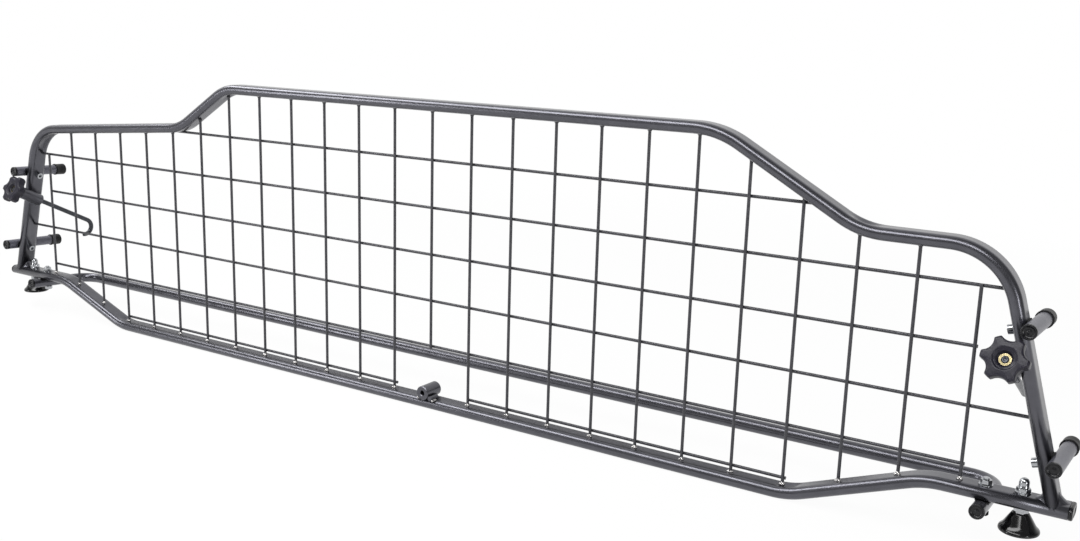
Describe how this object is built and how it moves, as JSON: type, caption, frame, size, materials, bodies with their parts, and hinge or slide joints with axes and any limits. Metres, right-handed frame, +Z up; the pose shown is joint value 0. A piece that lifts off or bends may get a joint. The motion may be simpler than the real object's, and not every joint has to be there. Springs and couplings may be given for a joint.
{
  "type": "car dog guard",
  "caption": "Wide car dog guard: flat-oval tube frame with a welded wire mesh, star-knob hook clamps, padded arms, a rear rail and levelling feet.",
  "frame": {"origin": "midway between the two foot faces, on the plane they rest on", "axes": "+X across the guard to the right as seen from the cargo side, +Y to the rear of the guard (towards the rear rail and the capped arm ends), +Z up"},
  "size_m": [1.375, 0.1396, 0.3287],
  "materials": {
    "graphite_coat": "satin metallic powder coat",
    "weld_metal": "coated weld bead, bright",
    "zinc_steel": "bright zinc plate",
    "black_plastic": "moulded, matte",
    "knob_plastic": "moulded, fine grain",
    "foot_plastic": "moulded, glossy",
    "black_rubber": "matte",
    "brass": "turned"
  },
  "bodies": {
    "frame": {"frame_arch": "graphite_coat", "bottom_bar": "graphite_coat", "upright_wires": "graphite_coat", "level_wires": "graphite_coat", "wire_welds": "weld_metal", "upright_welds": "graphite_coat", "bar_end_plugs": "black_plastic", "rear_rail": "graphite_coat", "rail_plugs": "black_plastic", "rail_pads": "black_rubber", "rail_bolts": "zinc_steel", "rail_washers": "zinc_steel", "rail_nuts": "zinc_steel", "arm_pads": "black_rubber", "arm_screws": "zinc_steel", "hook_sleeves": "graphite_coat", "sleeve_welds": "graphite_coat", "foot_washers": "zinc_steel", "middle_boss": "graphite_coat", "boss_pin": "graphite_coat"},
    "upper_arm_left": {"upper_arm_tube_left": "graphite_coat", "upper_arm_cap_left": "black_rubber", "upper_arm_plug_left": "black_plastic", "upper_arm_insert_left": "brass"},
    "lower_arm_left": {"lower_arm_tube_left": "graphite_coat", "lower_arm_cap_left": "black_rubber", "lower_arm_plug_left": "black_plastic", "lower_arm_insert_left": "brass"},
    "clamp_washer_left": {"clamp_washer_left": "zinc_steel"},
    "hook_left": {"hook_bolt_left": "zinc_steel"},
    "knob_left": {"knob_left": "knob_plastic", "knob_insert_left": "brass"},
    "lock_nut_left": {"lock_nut_left": "zinc_steel"},
    "dome_nut_left": {"dome_nut_left": "zinc_steel"},
    "foot_stud_left": {"foot_stud_left": "zinc_steel"},
    "foot_pad_left": {"foot_pad_left": "foot_plastic"},
    "upper_arm_right": {"upper_arm_tube_right": "graphite_coat", "upper_arm_cap_right": "black_rubber", "upper_arm_plug_right": "black_plastic", "upper_arm_insert_right": "brass"},
    "lower_arm_right": {"lower_arm_tube_right": "graphite_coat", "lower_arm_cap_right": "black_rubber", "lower_arm_plug_right": "black_plastic", "lower_arm_insert_right": "brass"},
    "clamp_washer_right": {"clamp_washer_right": "zinc_steel"},
    "hook_right": {"hook_bolt_right": "zinc_steel"},
    "knob_right": {"knob_right": "knob_plastic", "knob_insert_right": "brass"},
    "lock_nut_right": {"lock_nut_right": "zinc_steel"},
    "dome_nut_right": {"dome_nut_right": "zinc_steel"},
    "foot_stud_right": {"foot_stud_right": "zinc_steel"},
    "foot_pad_right": {"foot_pad_right": "foot_plastic"}
  },
  "joints": [
    {"name": "upper_arm_left_turn", "type": "hinge", "parent": "frame", "child": "upper_arm_left", "pos_m": [-0.64294, 0, 0.16848], "axis": [0.9622, 0, -0.2723], "range_deg": [-15, 8]},
    {"name": "lower_arm_left_turn", "type": "hinge", "parent": "frame", "child": "lower_arm_left", "pos_m": [-0.67237, 0, 0.06448], "axis": [0.9622, 0, -0.2723], "range_deg": [-15, 15]},
    {"name": "clamp_swivel_left", "type": "hinge", "parent": "frame", "child": "clamp_washer_left", "pos_m": [-0.6298, 0, 0.1298], "axis": [0, 0.891, -0.454], "continuous": true},
    {"name": "hook_slide_left", "type": "slide", "parent": "clamp_washer_left", "child": "hook_left", "axis": [0, -0.891, 0.454], "range_m": [-0.004, 0.012]},
    {"name": "knob_turn_left", "type": "hinge", "parent": "clamp_washer_left", "child": "knob_left", "pos_m": [-0.6298, 0, 0.1298], "axis": [0, 0.891, -0.454], "range_deg": [-1440, 4320]},
    {"name": "lock_nut_turn_left", "type": "hinge", "parent": "frame", "child": "lock_nut_left", "pos_m": [-0.649, 0, 0.018], "axis": [0, 0, 1], "range_deg": [-720, 1080]},
    {"name": "dome_nut_turn_left", "type": "hinge", "parent": "frame", "child": "dome_nut_left", "pos_m": [-0.649, 0, 0.036], "axis": [0, 0, 1], "range_deg": [-720, 1080]},
    {"name": "foot_height_left", "type": "slide", "parent": "frame", "child": "foot_stud_left", "axis": [0, 0, 1], "range_m": [-0.003, 0.002]},
    {"name": "foot_swivel_left", "type": "hinge", "parent": "foot_stud_left", "child": "foot_pad_left", "pos_m": [-0.649, 0, 0.008], "axis": [0, 0, 1], "continuous": true},
    {"name": "upper_arm_right_turn", "type": "hinge", "parent": "frame", "child": "upper_arm_right", "pos_m": [0.64294, 0, 0.16848], "axis": [0.9622, 0, 0.2723], "range_deg": [-15, 8]},
    {"name": "lower_arm_right_turn", "type": "hinge", "parent": "frame", "child": "lower_arm_right", "pos_m": [0.67237, 0, 0.06448], "axis": [0.9622, 0, 0.2723], "range_deg": [-15, 15]},
    {"name": "clamp_swivel_right", "type": "hinge", "parent": "frame", "child": "clamp_washer_right", "pos_m": [0.6298, 0, 0.1298], "axis": [0, 0.891, -0.454], "continuous": true},
    {"name": "hook_slide_right", "type": "slide", "parent": "clamp_washer_right", "child": "hook_right", "axis": [0, -0.891, 0.454], "range_m": [-0.004, 0.012]},
    {"name": "knob_turn_right", "type": "hinge", "parent": "clamp_washer_right", "child": "knob_right", "pos_m": [0.6298, 0, 0.1298], "axis": [0, 0.891, -0.454], "range_deg": [-1440, 4320]},
    {"name": "lock_nut_turn_right", "type": "hinge", "parent": "frame", "child": "lock_nut_right", "pos_m": [0.649, 0, 0.018], "axis": [0, 0, 1], "range_deg": [-720, 1080]},
    {"name": "dome_nut_turn_right", "type": "hinge", "parent": "frame", "child": "dome_nut_right", "pos_m": [0.649, 0, 0.036], "axis": [0, 0, 1], "range_deg": [-720, 1080]},
    {"name": "foot_height_right", "type": "slide", "parent": "frame", "child": "foot_stud_right", "axis": [0, 0, 1], "range_m": [-0.003, 0.002]},
    {"name": "foot_swivel_right", "type": "hinge", "parent": "foot_stud_right", "child": "foot_pad_right", "pos_m": [0.649, 0, 0.008], "axis": [0, 0, 1], "continuous": true}
  ],
  "couplings": [
    {"joint": "knob_turn_left", "follows": "hook_slide_left", "rad_per_m": 6283.2},
    {"joint": "dome_nut_turn_left", "follows": "foot_height_left", "rad_per_m": -6283.2},
    {"joint": "lock_nut_turn_left", "follows": "foot_height_left", "rad_per_m": -6283.2},
    {"joint": "knob_turn_right", "follows": "hook_slide_right", "rad_per_m": 6283.2},
    {"joint": "dome_nut_turn_right", "follows": "foot_height_right", "rad_per_m": -6283.2},
    {"joint": "lock_nut_turn_right", "follows": "foot_height_right", "rad_per_m": -6283.2}
  ]
}
